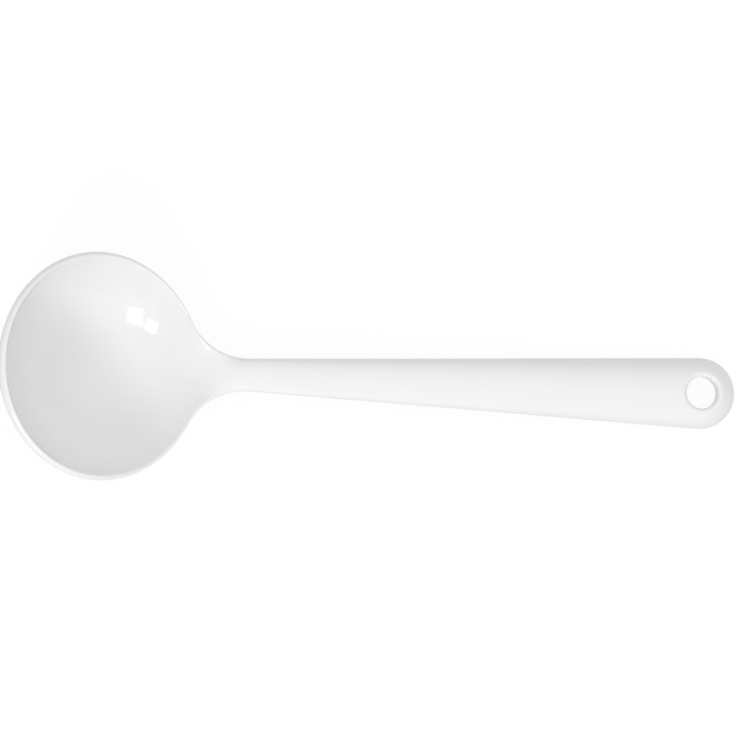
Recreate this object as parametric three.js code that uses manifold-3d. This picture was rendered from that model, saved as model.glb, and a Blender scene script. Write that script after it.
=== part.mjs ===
// Sauce ladle of glossy white melamine, lying on a table on its bowl and on the end of its handle.
// Millimetres, +Z up, +X from the bowl to the handle's end.
// The ladle is drawn straight first: "along" runs from the bowl's centre to the eye, "across" is Y and
// "up" is the height over the rim's plane. The neck is then bent, and the whole is turned until it rests.
import * as THREE from "three";
import { mergeVertices } from "three/addons/utils/BufferGeometryUtils.js";
import Module from "manifold-3d";

const { clamp, degToRad, lerp, smoothstep } = THREE.MathUtils;

// Bowl
const BOWL_RADIUS = 27.7; // outside, at the lip
const BOWL_DEPTH = 20.4; // outside, under the lip
const BOWL_FLOOR = 2.1; // wall at the lowest point
const LIP_THICKNESS = 1.3; // between its inner and outer edge
const LIP_DROP = 1.3; // the outer edge is lower than the inner one

// Shoulder, where the bowl's outline draws in to the neck
const SHOULDER_ANGLE = degToRad(27.7); // bearing at which the outline leaves the bowl's circle
const SHOULDER_FILLET = 15.5;
const INSIDE_SHARE = 0.8; // share of the bowl's radius at which its inside turns to the neck
const INSIDE_RUN = 18; // from there to the level top of the neck
const OUTSIDE_SHARE = 0.72; // the same for the outside
const OUTSIDE_RUN = 16; // from there to the level underside of the neck

// Neck and handle
const NECK_WIDTH = 8.5;
const NECK_THICKNESS = 6.2;
const NECK_CROWN = 2.2; // height of the top over the widest line
const NECK_RUN = 12; // from the narrowest place to the handle
const BEND_ANGLE = degToRad(27.8); // between the rim's plane and the handle
const BEND_SHARE = 0.5; // share of the bowl's radius at which the bend starts
const BEND_RUN = 24;
const EDGE_HEIGHT = 1.8; // rounded side of the handle
const EDGE_INSET = 0.35; // how far the rounded side stands out from the two faces
const NECK_ROUNDNESS = 0.4; // of the top: a small value gives it a full oval section
const BELLY_ROUNDNESS = 0.45; // the same for the underside

// Hanging eye
const EYE_RADIUS = 8.8;
const EYE_THICKNESS = 5.8;
const EYE_CROWN = 4.8;
const EYE_ROUNDNESS = 1.9;
const EYE_REACH = 152.5; // from the bowl's centre, along the straight ladle
const EYE_ROOT = 24; // from the middle of the eye back to where the handle meets it
const HOLE_DIAMETER = 8;
const HOLE_ROUNDING = 1.2;

// Flats on which it lies
const REST_FLAT_DEPTH = 0.2;

// Fineness of the surfaces
const FACE_STEPS = 10;
const LIP_STEPS = 6;
const BOWL_BEARINGS = 18;
const BOWL_STATIONS = 18;
const NECK_STATIONS = 10;
const HANDLE_STATIONS = 9;
const EYE_STATIONS = 4;
const EYE_BEARINGS = 10;
const HOLE_SEGMENTS = 40;
const HOLE_ARC_STEPS = 4;
const BEND_STEPS = 160;
const REST_HALVINGS = 40;

// A spherical cap through a rim of the given radius, with the given depth
function cap(rim, depth) {
  const sphere = (rim * rim + depth * depth) / (2 * depth);
  return { sphere, centre: sphere - depth };
}

const outside = cap(BOWL_RADIUS, BOWL_DEPTH - LIP_DROP);
const inside = cap(BOWL_RADIUS - LIP_THICKNESS, BOWL_DEPTH - BOWL_FLOOR);

// Outline seen from above: bowl's circle, straight shoulder, fillet, straight handle, round eye
const shoulderOut = new THREE.Vector2(Math.cos(SHOULDER_ANGLE), Math.sin(SHOULDER_ANGLE));
const shoulderStart = shoulderOut.clone().multiplyScalar(BOWL_RADIUS);
const filletUp = NECK_WIDTH / 2 + SHOULDER_FILLET;
const shoulderRun = (shoulderStart.y + SHOULDER_FILLET * shoulderOut.y - filletUp) / shoulderOut.x;
const shoulderEnd = new THREE.Vector2(
  shoulderStart.x + shoulderRun * shoulderOut.y,
  shoulderStart.y - shoulderRun * shoulderOut.x,
);
const fillet = shoulderEnd.clone().addScaledVector(shoulderOut, SHOULDER_FILLET);
const filletToEye = new THREE.Vector2(EYE_REACH - fillet.x, fillet.y);
const taper = Math.asin((EYE_RADIUS + SHOULDER_FILLET) / filletToEye.length()) - filletToEye.angle();
const handleStart = new THREE.Vector2(
  fillet.x + SHOULDER_FILLET * Math.sin(taper),
  fillet.y - SHOULDER_FILLET * Math.cos(taper),
);
const handleEnd = EYE_REACH - EYE_RADIUS * Math.sin(taper);

function halfWidth(along) {
  if (along < shoulderStart.x) {
    return Math.sqrt(BOWL_RADIUS ** 2 - along ** 2);
  }
  if (along < shoulderEnd.x) {
    return shoulderStart.y - ((along - shoulderStart.x) * shoulderOut.x) / shoulderOut.y;
  }
  if (along < handleStart.x) {
    return fillet.y - Math.sqrt(SHOULDER_FILLET ** 2 - (along - fillet.x) ** 2);
  }
  return handleStart.y + (along - handleStart.x) * Math.tan(taper);
}

// Where the bowl's inside and its outside run out, and where the neck bends
const rampStart = INSIDE_SHARE * BOWL_RADIUS;
const rampEnd = rampStart + INSIDE_RUN;
const bellyStart = OUTSIDE_SHARE * BOWL_RADIUS;
const bendStart = BEND_SHARE * BOWL_RADIUS;
const bendEnd = bendStart + BEND_RUN;

// Depth of a face's middle line under its edge in the bowl: the cap, then a ramp that ends level
function middleDepth(face, along, from, span, end) {
  const start = Math.min(along, from);
  const root = Math.sqrt(face.sphere ** 2 - start ** 2);
  const t = clamp((along - from) / span, 0, 1);
  const fade = (1 - t) ** 2;
  const fromCap = (root - face.centre) * fade * (1 + 2 * t);
  const fromSlope = ((start * span) / root) * fade * t;
  return fromCap - fromSlope + end * t ** 2 * (3 - 2 * t);
}

// Section of the ladle at a station
function section(along) {
  const share = clamp((along - rampEnd) / (EYE_REACH - rampEnd), 0, 1);
  const crown = lerp(NECK_CROWN, EYE_CROWN, share);
  const belly = lerp(NECK_THICKNESS - NECK_CROWN, EYE_THICKNESS - EYE_CROWN, share);
  const roundness = lerp(NECK_ROUNDNESS, EYE_ROUNDNESS, share);
  const onHandle = smoothstep(along, rampStart, rampEnd);
  const inset = EDGE_INSET * onHandle;
  return {
    width: along < handleEnd ? halfWidth(along) : EYE_RADIUS,
    topEdge: (EDGE_HEIGHT / 2) * onHandle,
    bottomEdge: lerp(LIP_DROP, EDGE_HEIGHT / 2, onHandle),
    topInset: lerp(LIP_THICKNESS, EDGE_INSET, onHandle),
    topMiddle: middleDepth(inside, along, rampStart, INSIDE_RUN, -crown),
    topCentre: lerp(inside.centre, roundness, onHandle),
    bottomInset: inset,
    bottomRise: middleDepth(outside, along, bellyStart, OUTSIDE_RUN, belly - EDGE_HEIGHT / 2),
    bottomCentre: lerp(outside.centre, BELLY_ROUNDNESS, onHandle),
  };
}

// Arc of a face: its height over the face's edge at a share of the width, and its slope at that edge
function arcHeight(rise, centre, share) {
  const top = Math.abs(rise) + centre;
  return Math.sign(rise) * (Math.sqrt(top ** 2 * (1 - share ** 2) + (centre * share) ** 2) - centre);
}

function arcEdge(rise, centre, width) {
  const top = Math.abs(rise) + centre;
  const slope = (Math.sign(rise) * (top ** 2 - centre ** 2)) / (centre * width);
  return new THREE.Vector2(1, slope).normalize();
}

// Half a section from its top middle over the lip to its bottom middle, as pairs of reach and height
function halfSection({ width, topEdge, bottomEdge, bottomRise, ...faces }) {
  const topWidth = width - faces.topInset;
  const bottomWidth = width - faces.bottomInset;
  const topRise = faces.topMiddle + topEdge;
  const top = [];
  const bottom = [];
  for (let k = 0; k <= FACE_STEPS; k += 1) {
    const share = Math.sin(((k / FACE_STEPS) * Math.PI) / 2);
    const topUp = topEdge - arcHeight(topRise, faces.topCentre, share);
    const bottomUp = -bottomEdge - arcHeight(bottomRise, faces.bottomCentre, share);
    top.push(new THREE.Vector2(share * topWidth, topUp));
    bottom.unshift(new THREE.Vector2(share * bottomWidth, bottomUp));
  }
  const from = top[FACE_STEPS];
  const to = bottom[0];
  const out = arcEdge(topRise, faces.topCentre, topWidth);
  const back = arcEdge(bottomRise, faces.bottomCentre, bottomWidth).negate();
  const turn = Math.acos(clamp(out.dot(back), -1, 1));
  const handle = (from.distanceTo(to) * 2 * Math.tan(turn / 4)) / (3 * Math.sin(turn / 2));
  const lip = new THREE.CubicBezierCurve(
    from,
    from.clone().addScaledVector(out, handle),
    to.clone().addScaledVector(back, -handle),
    to,
  );
  return [...top, ...lip.getPoints(LIP_STEPS).slice(1, -1), ...bottom];
}

// The bent middle line of the ladle
function bendAt(along) {
  return BEND_ANGLE * smoothstep(along, bendStart, bendEnd);
}

function bent(along, across, up) {
  const angle = bendAt(along);
  const run = Math.max(along - bendStart, 0) / BEND_STEPS;
  let x = Math.min(along, bendStart);
  let z = 0;
  for (let k = 0; k < BEND_STEPS && run > 0; k += 1) {
    const turned = bendAt(bendStart + (k + 0.5) * run);
    x += run * Math.cos(turned);
    z += run * Math.sin(turned);
  }
  return new THREE.Vector3(x - up * Math.sin(angle), across, z + up * Math.cos(angle));
}

// A rib is half a section that reaches out from a foot on the middle line at a bearing
function rib(foot, bearing, shape) {
  return shape.map(({ x, y }) => bent(foot + x * Math.cos(bearing), x * Math.sin(bearing), y));
}

function stations(from, to, steps) {
  const ribs = [];
  for (let k = 0; k <= steps; k += 1) {
    const along = lerp(from, to, k / steps);
    ribs.push(rib(along, Math.PI / 2, halfSection(section(along))));
  }
  return ribs;
}

function fan(foot, from, to, steps) {
  const shape = halfSection(section(foot));
  const ribs = [];
  for (let k = 0; k <= steps; k += 1) {
    ribs.push(rib(foot, lerp(from, to, k / steps), shape));
  }
  return ribs;
}

// Skin over the ribs of both sides, closed with a flat face where it is cut from its neighbour
function skin(ribs, { cutAtStart, cutAtEnd }) {
  const positions = [];
  const face = (...corners) => corners.forEach((corner) => positions.push(corner.x, corner.y, corner.z));
  const mirrored = (points) => points.map(({ x, y, z }) => new THREE.Vector3(x, -y, z));
  for (let i = 0; i + 1 < ribs.length; i += 1) {
    const near = [ribs[i], mirrored(ribs[i + 1])];
    const far = [ribs[i + 1], mirrored(ribs[i])];
    for (let side = 0; side < near.length; side += 1) {
      for (let k = 0; k + 1 < ribs[i].length; k += 1) {
        face(near[side][k], far[side][k], far[side][k + 1]);
        face(near[side][k], far[side][k + 1], near[side][k + 1]);
      }
    }
  }
  const close = (points, facesBack) => {
    const ring = [...points, ...mirrored(points).slice(1, -1).reverse()];
    const flat = ring.map(({ y, z }) => new THREE.Vector2(y, z));
    for (const [a, b, c] of THREE.ShapeUtils.triangulateShape(flat, [])) {
      const corners = [ring[a], ring[b], ring[c]];
      face(...(facesBack ? corners.reverse() : corners));
    }
  };
  if (cutAtStart) {
    close(ribs[0], true);
  }
  if (cutAtEnd) {
    close(ribs[ribs.length - 1], false);
  }
  const geometry = new THREE.BufferGeometry();
  geometry.setAttribute("position", new THREE.Float32BufferAttribute(positions, 3));
  return welded(geometry);
}

// Joins equal corners and drops the faces that close up at the middle of a fan
function welded(geometry) {
  const bare = new THREE.BufferGeometry().setAttribute("position", geometry.getAttribute("position"));
  const merged = mergeVertices(bare.setIndex(geometry.index));
  const kept = [];
  for (let k = 0; k < merged.index.count; k += 3) {
    const [a, b, c] = [0, 1, 2].map((corner) => merged.index.getX(k + corner));
    if (a !== b && b !== c && c !== a) {
      kept.push(a, b, c);
    }
  }
  return merged.setIndex(kept);
}

// The regions of the moulding
const neckStart = (shoulderEnd.x + fillet.x) / 2;
const neckEnd = fillet.x + NECK_RUN;
const eyeStart = EYE_REACH - EYE_ROOT;

const bowlRibs = [
  ...fan(0, Math.PI, Math.PI / 2, BOWL_BEARINGS),
  ...stations(0, neckStart, BOWL_STATIONS).slice(1),
];
const neckRibs = stations(neckStart, neckEnd, NECK_STATIONS);
const handleRibs = stations(neckEnd, eyeStart, HANDLE_STATIONS);
const eyeRibs = [
  ...stations(eyeStart, handleEnd, EYE_STATIONS).slice(0, -1),
  ...fan(EYE_REACH, Math.PI / 2 + taper, 0, EYE_BEARINGS),
];

const bowlSkin = skin(bowlRibs, { cutAtStart: false, cutAtEnd: true });
const neckSkin = skin(neckRibs, { cutAtStart: true, cutAtEnd: true });
const handleSkin = skin(handleRibs, { cutAtStart: true, cutAtEnd: true });
const eyeSkin = skin(eyeRibs, { cutAtStart: true, cutAtEnd: false });

// Cutter for the hole, which widens to a rounded edge at both faces
function holeCutter() {
  const radius = HOLE_DIAMETER / 2;
  const mouth = radius + HOLE_ROUNDING;
  const rounding = (level, from, to) => {
    const arc = new THREE.EllipseCurve(mouth, level, HOLE_ROUNDING, HOLE_ROUNDING, from, to, true);
    return arc.getPoints(HOLE_ARC_STEPS);
  };
  const acrossLevel = Math.sqrt(1 - (mouth / EYE_RADIUS) ** 2);
  const drop = (1 + acrossLevel) / 2; // between the faces' height along the handle and across it
  const profile = [
    new THREE.Vector2(0, -EYE_THICKNESS),
    new THREE.Vector2(mouth, -EYE_THICKNESS),
    ...rounding(HOLE_ROUNDING - (EYE_THICKNESS - EYE_CROWN) * drop, Math.PI * 1.5, Math.PI),
    ...rounding(EYE_CROWN * drop - HOLE_ROUNDING, Math.PI, Math.PI / 2),
    new THREE.Vector2(mouth, EYE_THICKNESS),
    new THREE.Vector2(0, EYE_THICKNESS),
  ];
  const middle = bent(EYE_REACH, 0, 0);
  const cutter = new THREE.LatheGeometry(profile, HOLE_SEGMENTS);
  cutter.rotateX(Math.PI / 2);
  cutter.rotateY(-BEND_ANGLE);
  cutter.translate(middle.x, middle.y, middle.z);
  return cutter;
}

// Cutting
const wasm = await Module();
wasm.setup();

function toSolid(geometry) {
  const { index, attributes } = welded(geometry);
  return new wasm.Manifold(
    new wasm.Mesh({
      numProp: 3,
      vertProperties: new Float32Array(attributes.position.array),
      triVerts: new Uint32Array(index.array),
    }),
  );
}

function toGeometry(solid) {
  const { vertProperties, triVerts } = solid.getMesh();
  const geometry = new THREE.BufferGeometry();
  geometry.setAttribute("position", new THREE.BufferAttribute(new Float32Array(vertProperties), 3));
  geometry.setIndex(new THREE.BufferAttribute(new Uint32Array(triVerts), 1));
  return geometry;
}

const eyeDrilled = toGeometry(toSolid(eyeSkin).subtract(toSolid(holeCutter())));

// Lowest point of a form when the ladle is turned by an angle about the axis across it
function lowest(geometry, angle) {
  const { array } = geometry.getAttribute("position");
  let low = Infinity;
  for (let k = 0; k < array.length; k += 3) {
    low = Math.min(low, array[k + 2] * Math.cos(angle) - array[k] * Math.sin(angle));
  }
  return low;
}

// The angle at which bowl and eye are equally low, found by halving
let [restAngle, steep] = [0, Math.PI / 2];
for (let k = 0; k < REST_HALVINGS; k += 1) {
  const half = (restAngle + steep) / 2;
  if (lowest(bowlSkin, half) < lowest(eyeDrilled, half)) {
    restAngle = half;
  } else {
    steep = half;
  }
}
const table = lowest(bowlSkin, restAngle) + REST_FLAT_DEPTH;

// Everything under the table's top, in the frame of the ladle before it is turned
const slab = new THREE.BoxGeometry(4 * EYE_REACH, 4 * EYE_REACH, EYE_REACH);
slab.translate(0, 0, table - EYE_REACH / 2);
slab.rotateY(-restAngle);
const underTable = toSolid(slab);

function piece(name, geometry) {
  const material = new THREE.MeshStandardMaterial({ color: 0xf1f1ef, roughness: 0.15, metalness: 0 });
  const mesh = new THREE.Mesh(toGeometry(toSolid(geometry).subtract(underTable)), material);
  mesh.name = name;
  return mesh;
}

const ladle = new THREE.Group();
ladle.add(
  piece("bowl", bowlSkin),
  piece("neck", neckSkin),
  piece("handle", handleSkin),
  piece("hanging_eye", eyeDrilled),
);
ladle.rotation.y = restAngle;

const bounds = new THREE.Box3().setFromObject(ladle, true);
const middle = bounds.getCenter(new THREE.Vector3());
ladle.position.set(-middle.x, -middle.y, -bounds.min.z);

const sauceLadle = new THREE.Group();
sauceLadle.add(ladle);

export default sauceLadle;
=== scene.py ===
"""Sauce ladle of glossy white melamine: one seamless skin in place of the solids, on a pale floor."""
import math

import bmesh
import bpy
import numpy as np
from mathutils import Matrix, Vector


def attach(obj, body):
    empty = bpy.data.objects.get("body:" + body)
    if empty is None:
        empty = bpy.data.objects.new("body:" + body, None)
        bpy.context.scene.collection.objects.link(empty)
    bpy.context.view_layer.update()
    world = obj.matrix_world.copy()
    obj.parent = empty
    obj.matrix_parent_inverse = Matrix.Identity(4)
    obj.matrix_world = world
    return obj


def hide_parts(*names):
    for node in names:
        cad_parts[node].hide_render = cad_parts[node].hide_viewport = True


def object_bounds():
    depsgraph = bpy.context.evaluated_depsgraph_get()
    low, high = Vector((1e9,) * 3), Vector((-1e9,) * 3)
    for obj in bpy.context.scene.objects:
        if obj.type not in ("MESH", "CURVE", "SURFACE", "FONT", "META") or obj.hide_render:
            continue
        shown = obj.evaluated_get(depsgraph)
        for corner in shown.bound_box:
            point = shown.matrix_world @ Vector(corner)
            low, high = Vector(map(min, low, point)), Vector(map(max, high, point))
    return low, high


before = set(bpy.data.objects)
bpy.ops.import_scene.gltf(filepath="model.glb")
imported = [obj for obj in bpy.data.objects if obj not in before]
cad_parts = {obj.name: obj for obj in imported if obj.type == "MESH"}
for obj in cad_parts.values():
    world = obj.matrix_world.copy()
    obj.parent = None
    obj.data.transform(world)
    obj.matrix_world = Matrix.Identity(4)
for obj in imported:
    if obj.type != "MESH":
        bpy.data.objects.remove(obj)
cad_low, cad_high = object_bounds()

# Sizes of the ladle in metres, the same as those of the solids
BOWL_RADIUS = 0.0277
BOWL_DEPTH = 0.0204
BOWL_FLOOR = 0.0021
LIP_THICKNESS = 0.0013
LIP_DROP = 0.0013
SHOULDER_ANGLE = math.radians(27.7)
SHOULDER_FILLET = 0.0155
INSIDE_SHARE = 0.8
INSIDE_RUN = 0.018
OUTSIDE_SHARE = 0.72
OUTSIDE_RUN = 0.016
NECK_WIDTH = 0.0085
NECK_THICKNESS = 0.0062
NECK_CROWN = 0.0022
BEND_ANGLE = math.radians(27.8)
BEND_SHARE = 0.5
BEND_RUN = 0.024
EDGE_HEIGHT = 0.0018
EDGE_INSET = 0.00035
NECK_ROUNDNESS = 0.0004
BELLY_ROUNDNESS = 0.00045
EYE_RADIUS = 0.0088
EYE_THICKNESS = 0.0058
EYE_CROWN = 0.0048
EYE_ROUNDNESS = 0.0019
EYE_REACH = 0.1525
HOLE_RADIUS = 0.004
HOLE_ROUNDING = 0.0012
REST_FLAT_DEPTH = 0.0002

# Fineness of the skin
FACE_STEPS = 44
LIP_STEPS = 12
FRONT_BEARINGS = 72
STATION_STEP = 0.0007
EYE_PATCH_ROOT = 0.011  # from the middle of the eye back to where its rings start
EYE_SIDE_STEPS = 14
EYE_BEARINGS = 56
EYE_RINGS = 22
HOLE_ARC_STEPS = 10
HOLE_WALL_STEPS = 5
BEND_SAMPLES = 8000
REST_HALVINGS = 40
WELD = 1e-8
FAN_MARGIN = 1e-9


def cap(rim, depth):
    """Radius of a spherical cap and the height of its centre over the rim."""
    sphere = (rim**2 + depth**2) / (2 * depth)
    return sphere, sphere - depth


OUTSIDE = cap(BOWL_RADIUS, BOWL_DEPTH - LIP_DROP)
INSIDE = cap(BOWL_RADIUS - LIP_THICKNESS, BOWL_DEPTH - BOWL_FLOOR)

# Outline seen from above: bowl's circle, straight shoulder, fillet, straight handle, round eye
OUT = np.array([math.cos(SHOULDER_ANGLE), math.sin(SHOULDER_ANGLE)])
SHOULDER_START = BOWL_RADIUS * OUT
FILLET_UP = NECK_WIDTH / 2 + SHOULDER_FILLET
SHOULDER_RUN = (SHOULDER_START[1] + SHOULDER_FILLET * OUT[1] - FILLET_UP) / OUT[0]
SHOULDER_END = SHOULDER_START + SHOULDER_RUN * np.array([OUT[1], -OUT[0]])
FILLET = SHOULDER_END + SHOULDER_FILLET * OUT
FILLET_TO_EYE = np.array([EYE_REACH - FILLET[0], FILLET[1]])
TAPER = math.asin((EYE_RADIUS + SHOULDER_FILLET) / np.hypot(*FILLET_TO_EYE)) - math.atan2(
    FILLET_TO_EYE[1], FILLET_TO_EYE[0]
)
HANDLE_START = FILLET + SHOULDER_FILLET * np.array([math.sin(TAPER), -math.cos(TAPER)])
HANDLE_END = EYE_REACH - EYE_RADIUS * math.sin(TAPER)

RAMP_START = INSIDE_SHARE * BOWL_RADIUS
RAMP_END = RAMP_START + INSIDE_RUN
BEND_START = BEND_SHARE * BOWL_RADIUS


def smoothstep(value, low, high):
    t = np.clip((value - low) / (high - low), 0, 1)
    return t * t * (3 - 2 * t)


def lerp(low, high, t):
    return low + (high - low) * t


def half_width(along):
    bowl = np.sqrt(np.maximum(BOWL_RADIUS**2 - along**2, 0))
    shoulder = SHOULDER_START[1] - (along - SHOULDER_START[0]) * OUT[0] / OUT[1]
    fillet = FILLET[1] - np.sqrt(np.maximum(SHOULDER_FILLET**2 - (along - FILLET[0]) ** 2, 0))
    handle = HANDLE_START[1] + (along - HANDLE_START[0]) * math.tan(TAPER)
    ends = [SHOULDER_START[0], SHOULDER_END[0], HANDLE_START[0], HANDLE_END]
    return np.select([along < end for end in ends], [bowl, shoulder, fillet, handle], EYE_RADIUS)


def middle_depth(face, along, start, span, end):
    """Depth of a face's middle line under its edge in the bowl: the cap, then a ramp that ends level."""
    sphere, centre = face
    held = np.minimum(along, start)
    root = np.sqrt(sphere**2 - held**2)
    t = np.clip((along - start) / span, 0, 1)
    fade = (1 - t) ** 2
    from_cap = (root - centre) * fade * (1 + 2 * t)
    from_slope = held * span / root * fade * t
    return from_cap - from_slope + end * t * t * (3 - 2 * t)


def faces_at(along):
    """The two faces of the section at a station: reach, edge's height, rise and roundness of each."""
    share = np.clip((along - RAMP_END) / (EYE_REACH - RAMP_END), 0, 1)
    crown = lerp(NECK_CROWN, EYE_CROWN, share)
    belly = lerp(NECK_THICKNESS - NECK_CROWN, EYE_THICKNESS - EYE_CROWN, share)
    roundness = lerp(NECK_ROUNDNESS, EYE_ROUNDNESS, share)
    on_handle = smoothstep(along, RAMP_START, RAMP_END)
    width = half_width(along)
    edge = EDGE_HEIGHT / 2 * on_handle
    under = belly - EDGE_HEIGHT / 2
    top = {
        "reach": width - lerp(LIP_THICKNESS, EDGE_INSET, on_handle),
        "edge": edge,
        "rise": middle_depth(INSIDE, along, RAMP_START, INSIDE_RUN, -crown) + edge,
        "centre": lerp(INSIDE[1], roundness, on_handle),
    }
    bottom = {
        "reach": width - EDGE_INSET * on_handle,
        "edge": -lerp(LIP_DROP, EDGE_HEIGHT / 2, on_handle),
        "rise": middle_depth(OUTSIDE, along, OUTSIDE_SHARE * BOWL_RADIUS, OUTSIDE_RUN, under),
        "centre": lerp(OUTSIDE[1], BELLY_ROUNDNESS, on_handle),
    }
    return top, bottom


def face_up(face, share):
    """Height of a face at a share of its reach."""
    top = np.abs(face["rise"]) + face["centre"]
    arc = np.sqrt(np.maximum(top**2 * (1 - share**2) + (face["centre"] * share) ** 2, 0)) - face["centre"]
    return face["edge"] - np.sign(face["rise"]) * arc


def edge_direction(face):
    """Direction in which a face runs out at its edge."""
    top = np.abs(face["rise"]) + face["centre"]
    slope = np.sign(face["rise"]) * (top**2 - face["centre"] ** 2) / (face["centre"] * face["reach"])
    length = np.sqrt(1 + slope**2)
    return np.stack([1 / length, slope / length], -1)


def round_over(start, start_way, end, end_way, steps):
    """Curve that turns from one direction into another, close to a circle's arc."""
    turn = np.arccos(np.clip((start_way * end_way).sum(-1), -1, 1))
    chord = np.linalg.norm(end - start, axis=-1)
    pull = (chord * 2 * np.tan(turn / 4) / (3 * np.sin(turn / 2)))[..., None]
    corners = [start, start + start_way * pull, end - end_way * pull, end]
    t = np.linspace(0, 1, steps + 1)[:, None]
    weights = [(1 - t) ** 3, 3 * t * (1 - t) ** 2, 3 * t**2 * (1 - t), t**3]
    return sum(w * corner[..., None, :] for w, corner in zip(weights, corners))


def half_sections(along):
    """Top face, lip and bottom face of each station, as pairs of reach and height."""
    along = np.atleast_1d(along)
    share = np.sin(np.linspace(0, math.pi / 2, FACE_STEPS + 1))
    top_face, bottom_face = faces_at(along)
    flat = []
    for face in (top_face, bottom_face):
        wide = {name: value[:, None] for name, value in face.items()}
        flat.append(np.stack([wide["reach"] * share, face_up(wide, share)], -1))
    top, bottom = flat
    lip = round_over(
        top[:, -1], edge_direction(top_face), bottom[:, -1], -edge_direction(bottom_face), LIP_STEPS
    )
    return top, lip, bottom[:, ::-1]


# The bent middle line of the ladle
def bend_at(along):
    return BEND_ANGLE * smoothstep(along, BEND_START, BEND_START + BEND_RUN)


BEND_ALONG = np.linspace(-BOWL_RADIUS, EYE_REACH + 2 * EYE_RADIUS, BEND_SAMPLES)
BEND_STEP = BEND_ALONG[1] - BEND_ALONG[0]
MIDDLE_TURN = bend_at(BEND_ALONG[:-1] + BEND_STEP / 2)
BEND_X = np.concatenate([[0], np.cumsum(np.cos(MIDDLE_TURN))]) * BEND_STEP - BOWL_RADIUS
BEND_Z = np.concatenate([[0], np.cumsum(np.sin(MIDDLE_TURN))]) * BEND_STEP


def bent(along, across, up):
    angle = bend_at(along)
    x = np.interp(along, BEND_ALONG, BEND_X) - up * np.sin(angle)
    z = np.interp(along, BEND_ALONG, BEND_Z) + up * np.cos(angle)
    return np.stack([x, across + 0 * x, z], -1)


def ribs(foot, bearing, sections):
    """Half sections that reach out from feet on the middle line at bearings."""
    foot, bearing = np.broadcast_arrays(foot, bearing)
    reach, up = sections[..., 0], sections[..., 1]
    return bent(
        foot[:, None] + reach * np.cos(bearing)[:, None],
        reach * np.sin(bearing)[:, None],
        up,
    )


def whole(top, lip, bottom):
    return np.concatenate([top, lip[:, 1:-1], bottom], 1)


def eye_height(side, along, across):
    """Height of the top (0) or bottom (1) face of the eye and of the handle next to it."""
    in_fan = np.arctan2(across, along - EYE_REACH) < math.pi / 2 + TAPER + FAN_MARGIN
    foot = np.where(in_fan, EYE_REACH, along)
    reach = np.where(in_fan, np.hypot(along - EYE_REACH, across), across)
    face = faces_at(foot)[side]
    return face_up(face, np.clip(reach / face["reach"], 0, 1))


def eye_patches(eye_start):
    """The round end: its lip, rings between lip and hole on both faces, and the hole's wall."""
    sides = np.linspace(eye_start, HANDLE_END, EYE_SIDE_STEPS + 1)[:-1]
    bearings = np.linspace(math.pi / 2 + TAPER, 0, EYE_BEARINGS + 1)
    feet = np.concatenate([sides, np.full(len(bearings), EYE_REACH)])
    turns = np.concatenate([np.full(len(sides), math.pi / 2), bearings])
    lip = half_sections(feet)[1]
    patches = [ribs(feet, turns, lip)]
    share = np.sin(np.linspace(0, math.pi / 2, FACE_STEPS + 1))[:-1]
    mouths = []
    for side in (0, 1):
        reach = faces_at(feet)[side]["reach"]
        along = np.concatenate([np.full(len(share), eye_start), feet + reach * np.cos(turns)])
        across = np.concatenate([share * reach[0], reach * np.sin(turns)])
        radius = np.hypot(along - EYE_REACH, across)
        way = np.stack([(along - EYE_REACH) / radius, across / radius], -1)
        mouth = HOLE_RADIUS + HOLE_ROUNDING
        spread = np.sin(np.linspace(0, math.pi / 2, EYE_RINGS + 1))
        rings = mouth + (radius[:, None] - mouth) * spread

        def height(at):
            return eye_height(side, EYE_REACH + at * way[:, :1], at * way[:, 1:])

        edge = height(np.full((len(way), 1), mouth))[:, 0]
        step = HOLE_ROUNDING / HOLE_ARC_STEPS
        slope = (height(np.full((len(way), 1), mouth + step))[:, 0] - edge) / step
        down = -1 if side == 0 else 1
        start = np.stack([np.full(len(way), mouth), edge], -1)
        end_up = edge - slope * HOLE_ROUNDING + down * HOLE_ROUNDING
        end = np.stack([np.full(len(way), HOLE_RADIUS), end_up], -1)
        inward = np.stack([-np.ones(len(way)), -slope], -1) / np.sqrt(1 + slope**2)[:, None]
        straight = np.broadcast_to(np.array([0.0, down]), inward.shape)
        arc = round_over(start, inward, end, straight, HOLE_ARC_STEPS)
        face = np.concatenate([arc[:, :0:-1], np.stack([rings, height(rings)], -1)], 1)
        points = bent(EYE_REACH + face[..., 0] * way[:, :1], face[..., 0] * way[:, 1:], face[..., 1])
        patches.append(points if side == 0 else points[:, ::-1])
        mouths.append((way, end_up))
    # The two faces have slightly different bearings, so the wall takes the mean of them
    (way, high), (_, low) = mouths
    t = np.linspace(0, 1, HOLE_WALL_STEPS + 1)
    up = high[:, None] + (low - high)[:, None] * t
    wall = bent(EYE_REACH + HOLE_RADIUS * way[:, :1] + 0 * up, HOLE_RADIUS * way[:, 1:] + 0 * up, up)
    wall[:, -1] = patches[2][:, -1]
    patches.append(wall[:, ::-1])
    return patches


def ladle_patches():
    """Grids of points of one half of the ladle, drawn with its rim level: up to the eye, and the eye."""
    eye_start = EYE_REACH - EYE_PATCH_ROOT
    bearings = np.linspace(math.pi, math.pi / 2, FRONT_BEARINGS + 1)
    front = ribs(np.zeros(len(bearings)), bearings, whole(*half_sections(np.zeros(len(bearings)))))
    along = np.linspace(0, eye_start, round(eye_start / STATION_STEP) + 1)
    body = ribs(along, np.full(len(along), math.pi / 2), whole(*half_sections(along)))
    return [front, body], eye_patches(eye_start)


def turned(points, angle):
    """Points turned about the axis across the ladle."""
    x, y, z = points[..., 0], points[..., 1], points[..., 2]
    cosine, sine = math.cos(angle), math.sin(angle)
    return np.stack([x * cosine + z * sine, y, z * cosine - x * sine], -1)


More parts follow.
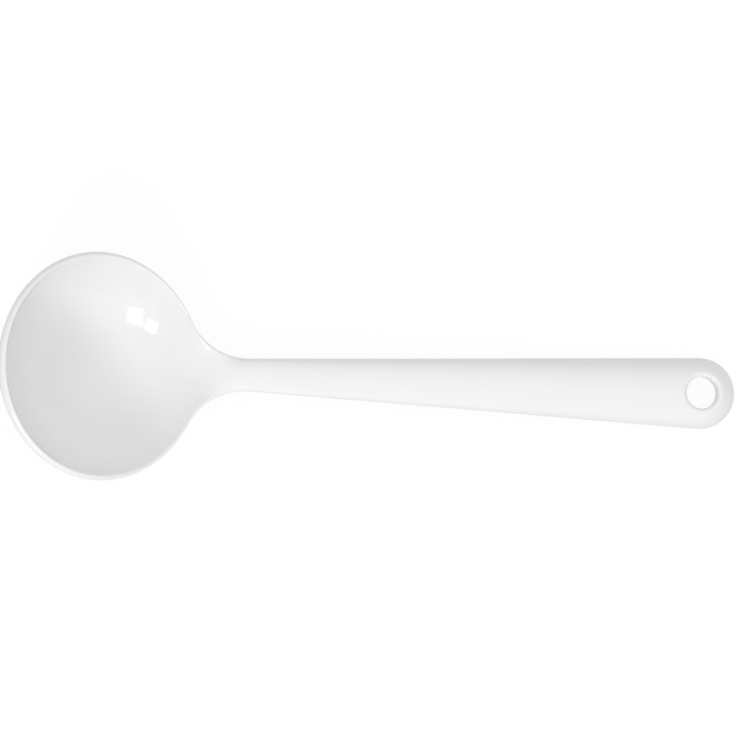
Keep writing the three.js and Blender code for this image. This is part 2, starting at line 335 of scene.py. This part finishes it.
def resting(bowl, eye):
    """Turns the ladle until bowl and eye are equally low, and sets it down, flat where it touches."""
    low_angle, high_angle = 0.0, math.pi / 2
    bowl_points = np.concatenate([grid.reshape(-1, 3) for grid in bowl])
    bowl_points = bowl_points[bowl_points[:, 0] < BOWL_RADIUS]
    eye_points = np.concatenate([grid.reshape(-1, 3) for grid in eye])
    for _ in range(REST_HALVINGS):
        half = (low_angle + high_angle) / 2
        if turned(bowl_points, half)[:, 2].min() < turned(eye_points, half)[:, 2].min():
            low_angle = half
        else:
            high_angle = half
    grids = [turned(grid, low_angle) for grid in bowl + eye]
    every = np.concatenate([grid.reshape(-1, 3) for grid in grids])
    low, high = every.min(0), every.max(0)
    shift = np.array([-(low[0] + high[0]) / 2, 0, -low[2] - REST_FLAT_DEPTH])
    return [np.clip(grid + shift, np.array(cad_low), np.array(cad_high)) for grid in grids]


def skin(grids, name):
    """One welded mesh over the grids and their mirror images."""
    points, quads = [], []
    count = 0
    for grid in grids:
        rows, columns = grid.shape[:2]
        index = np.arange(rows * columns).reshape(rows, columns)
        corners = [index[:-1, :-1], index[1:, :-1], index[1:, 1:], index[:-1, 1:]]
        for mirror in (1, -1):
            points.append(grid.reshape(-1, 3) * np.array([1, mirror, 1]))
            order = corners if mirror == 1 else corners[::-1]
            quads.append(np.stack([corner.ravel() for corner in order], -1) + count)
            count += rows * columns
    mesh = bpy.data.meshes.new(name)
    mesh.from_pydata(np.concatenate(points).tolist(), [], np.concatenate(quads).tolist())
    work = bmesh.new()
    work.from_mesh(mesh)
    bmesh.ops.remove_doubles(work, verts=work.verts, dist=WELD)
    bmesh.ops.dissolve_degenerate(work, edges=work.edges, dist=WELD)
    bmesh.ops.recalc_face_normals(work, faces=work.faces)
    for face in work.faces:
        face.smooth = True
    open_edges = [edge for edge in work.edges if len(edge.link_faces) != 2]
    print("ladle faces", len(work.faces), "open edges", len(open_edges))
    work.to_mesh(mesh)
    work.free()
    piece = bpy.data.objects.new(name, mesh)
    bpy.context.scene.collection.objects.link(piece)
    return piece


ladle = skin(resting(*ladle_patches()), "ladle")
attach(ladle, "root")
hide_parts("bowl", "neck", "handle", "hanging_eye")


def new_node(tree, kind, **settings):
    """A shader node with its properties and, by socket name or number, its constant inputs set."""
    node = tree.nodes.new("ShaderNode" + kind)
    inputs = settings.pop("inputs", {})
    for name, value in settings.items():
        setattr(node, name, value)
    for socket, value in inputs.items():
        node.inputs[socket].default_value = value
    return node


def link(tree, *pairs):
    for source, target in pairs:
        tree.links.new(source, target)


# Glossy white melamine: faint clouding, gloss that varies a little, the slight waviness of a moulded face
CLOUD_SCALE = 55.0
CLOUD_DETAIL = 4.0
WAVE_SCALE = 420.0
WAVE_DETAIL = 1.0
MELAMINE_DARK = (0.865, 0.865, 0.865, 1)
MELAMINE_LIGHT = (0.895, 0.895, 0.895, 1)
MELAMINE_IOR = 1.6
GLOSS_RANGE = (0.05, 0.11)
WAVE_HEIGHT = 0.000001


def melamine():
    material = bpy.data.materials.new("white_melamine")
    material.use_nodes = True
    tree = material.node_tree
    shader = tree.nodes["Principled BSDF"]
    shader.inputs["IOR"].default_value = MELAMINE_IOR
    place = new_node(tree, "TexCoord").outputs["Object"]
    cloud = new_node(tree, "TexNoise", inputs={"Scale": CLOUD_SCALE, "Detail": CLOUD_DETAIL})
    colour = new_node(tree, "Mix", data_type="RGBA")
    colour.inputs["A"].default_value = MELAMINE_DARK
    colour.inputs["B"].default_value = MELAMINE_LIGHT
    gloss = new_node(tree, "MapRange", inputs={"To Min": GLOSS_RANGE[0], "To Max": GLOSS_RANGE[1]})
    wave = new_node(tree, "TexNoise", inputs={"Scale": WAVE_SCALE, "Detail": WAVE_DETAIL})
    bump = new_node(tree, "Bump", inputs={"Distance": WAVE_HEIGHT})
    link(
        tree,
        (place, cloud.inputs["Vector"]),
        (place, wave.inputs["Vector"]),
        (cloud.outputs["Fac"], colour.inputs["Factor"]),
        (cloud.outputs["Fac"], gloss.inputs["Value"]),
        (wave.outputs["Fac"], bump.inputs["Height"]),
        (colour.outputs["Result"], shader.inputs["Base Color"]),
        (gloss.outputs["Result"], shader.inputs["Roughness"]),
        (bump.outputs["Normal"], shader.inputs["Normal"]),
    )
    return material


ladle.data.materials.append(melamine())

# Floor, a hair under the flats that the ladle lies on
FLOOR_SIZE = 12.0
FLOOR_LEVEL = -0.00005
FLOOR_COLOUR = (0.4, 0.4, 0.4, 1)
FLOOR_SHADE = (0.09, 0.09, 0.09, 1)
FLOOR_GLOW = 0.92


def seen_directly(tree):
    """1 for what the camera sees, also in a reflection, and 0 for light on other things."""
    path = new_node(tree, "LightPath").outputs
    mirrored = new_node(tree, "Math", operation="MAXIMUM")
    seen = new_node(tree, "Math", operation="MAXIMUM")
    link(
        tree,
        (path["Is Glossy Ray"], mirrored.inputs[0]),
        (path["Is Transmission Ray"], mirrored.inputs[1]),
        (path["Is Camera Ray"], seen.inputs[0]),
        (mirrored.outputs[0], seen.inputs[1]),
    )
    return seen.outputs[0]


def floor_white():
    """White floor that keeps a faint share of the ladle's shadow, clear where it is seen from below."""
    material = bpy.data.materials.new("floor_white")
    material.use_nodes = True
    tree = material.node_tree
    tree.nodes.clear()
    output = new_node(tree, "OutputMaterial")
    paint = new_node(tree, "BsdfDiffuse", inputs={"Color": FLOOR_COLOUR})
    shade = new_node(tree, "BsdfDiffuse", inputs={"Color": FLOOR_SHADE})
    glow = new_node(tree, "Emission", inputs={"Strength": FLOOR_GLOW})
    white = new_node(tree, "AddShader")
    mix = new_node(tree, "MixShader")
    clear = new_node(tree, "BsdfTransparent")
    sided = new_node(tree, "MixShader")
    link(
        tree,
        (shade.outputs[0], white.inputs[0]),
        (glow.outputs[0], white.inputs[1]),
        (seen_directly(tree), mix.inputs["Fac"]),
        (paint.outputs[0], mix.inputs[1]),
        (white.outputs[0], mix.inputs[2]),
        (new_node(tree, "NewGeometry").outputs["Backfacing"], sided.inputs["Fac"]),
        (mix.outputs[0], sided.inputs[1]),
        (clear.outputs[0], sided.inputs[2]),
        (sided.outputs[0], output.inputs["Surface"]),
    )
    return material


half = FLOOR_SIZE / 2
corners = [(x, y, FLOOR_LEVEL) for x, y in ((-half, -half), (half, -half), (half, half), (-half, half))]
floor_mesh = bpy.data.meshes.new("floor")
floor_mesh.from_pydata(corners, [], [(0, 1, 2, 3)])
floor = bpy.data.objects.new("floor", floor_mesh)
bpy.context.scene.collection.objects.link(floor)
floor.data.materials.append(floor_white())

# Light: an even sky with two broad soft lobes, and two small softboxes that show as highlights in the bowl.
# Each has an azimuth from +X and an elevation in degrees; a lobe a strength, a softbox a size and watts.
SKY_LEVEL = 0.635
LOBE_POWER = 4.0
SKY_LOBES = [
    (270, 15, 0.55),
    (45, 70, 0.53),
]
SOFTBOX_DISTANCE = 0.8
SOFTBOX_AIM = Vector((-0.058, 0.012, 0.006))
SOFTBOXES = [
    (262.4, 36, (0.146, 0.25), 0.26),
    (244.6, 40.8, (0.136, 0.157), 1.06),
]


def direction(azimuth, elevation):
    around, up = math.radians(azimuth), math.radians(elevation)
    return Vector((math.cos(around) * math.cos(up), math.sin(around) * math.cos(up), math.sin(up)))


def sky():
    """An even sky with broad soft lobes."""
    world = bpy.data.worlds.new("studio")
    world.use_nodes = True
    tree = world.node_tree
    way = new_node(tree, "TexCoord").outputs["Generated"]
    total = None
    for azimuth, elevation, strength in SKY_LOBES:
        axis = direction(azimuth, elevation)
        toward = new_node(tree, "VectorMath", operation="DOT_PRODUCT", inputs={1: axis})
        facing = new_node(tree, "Math", operation="MAXIMUM", inputs={1: 0.0})
        lobe = new_node(tree, "Math", operation="POWER", inputs={1: LOBE_POWER})
        more = new_node(tree, "Math", operation="MULTIPLY_ADD", inputs={1: strength, 2: SKY_LEVEL})
        link(
            tree,
            (way, toward.inputs[0]),
            (toward.outputs["Value"], facing.inputs[0]),
            (facing.outputs[0], lobe.inputs[0]),
            (lobe.outputs[0], more.inputs[0]),
        )
        if total:
            link(tree, (total, more.inputs[2]))
        total = more.outputs[0]
    background = tree.nodes["Background"]
    background.inputs["Color"].default_value = (1, 1, 1, 1)
    link(tree, (total, background.inputs["Strength"]))
    return world


def softbox(azimuth, elevation, size, watts):
    data = bpy.data.lights.new("softbox", "AREA")
    data.shape = "RECTANGLE"
    data.size, data.size_y = size
    data.energy = watts
    box = bpy.data.objects.new("softbox", data)
    away = direction(azimuth, elevation)
    box.location = SOFTBOX_AIM + SOFTBOX_DISTANCE * away
    box.rotation_euler = away.to_track_quat("Z", "Y").to_euler()
    bpy.context.scene.collection.objects.link(box)


bpy.context.scene.world = sky()
for placed in SOFTBOXES:
    softbox(*placed)

# Camera: from above, leaning a little toward the near side and the bowl, and turned a little
CAMERA_LEAN_NEAR = math.radians(4.2)
CAMERA_LEAN_BOWL = math.radians(-3.0)
CAMERA_ROLL = math.radians(2.097)
CAMERA_DISTANCE = 0.9
CAMERA_AIM = Vector((-0.000974, 0.003115, 0.004))
CAMERA_LENS = 177.111
SENSOR = 36.0

camera_data = bpy.data.cameras.new("camera")
camera_data.sensor_width = SENSOR
camera_data.lens = CAMERA_LENS
camera = bpy.data.objects.new("camera", camera_data)
bpy.context.scene.collection.objects.link(camera)
lean = Matrix.Rotation(CAMERA_LEAN_NEAR, 4, "X") @ Matrix.Rotation(CAMERA_LEAN_BOWL, 4, "Y")
turn = lean @ Matrix.Rotation(CAMERA_ROLL, 4, "Z")
camera.matrix_world = Matrix.Translation(CAMERA_AIM) @ turn @ Matrix.Translation((0, 0, CAMERA_DISTANCE))
bpy.context.scene.camera = camera

bpy.context.scene.view_settings.view_transform = "Standard"
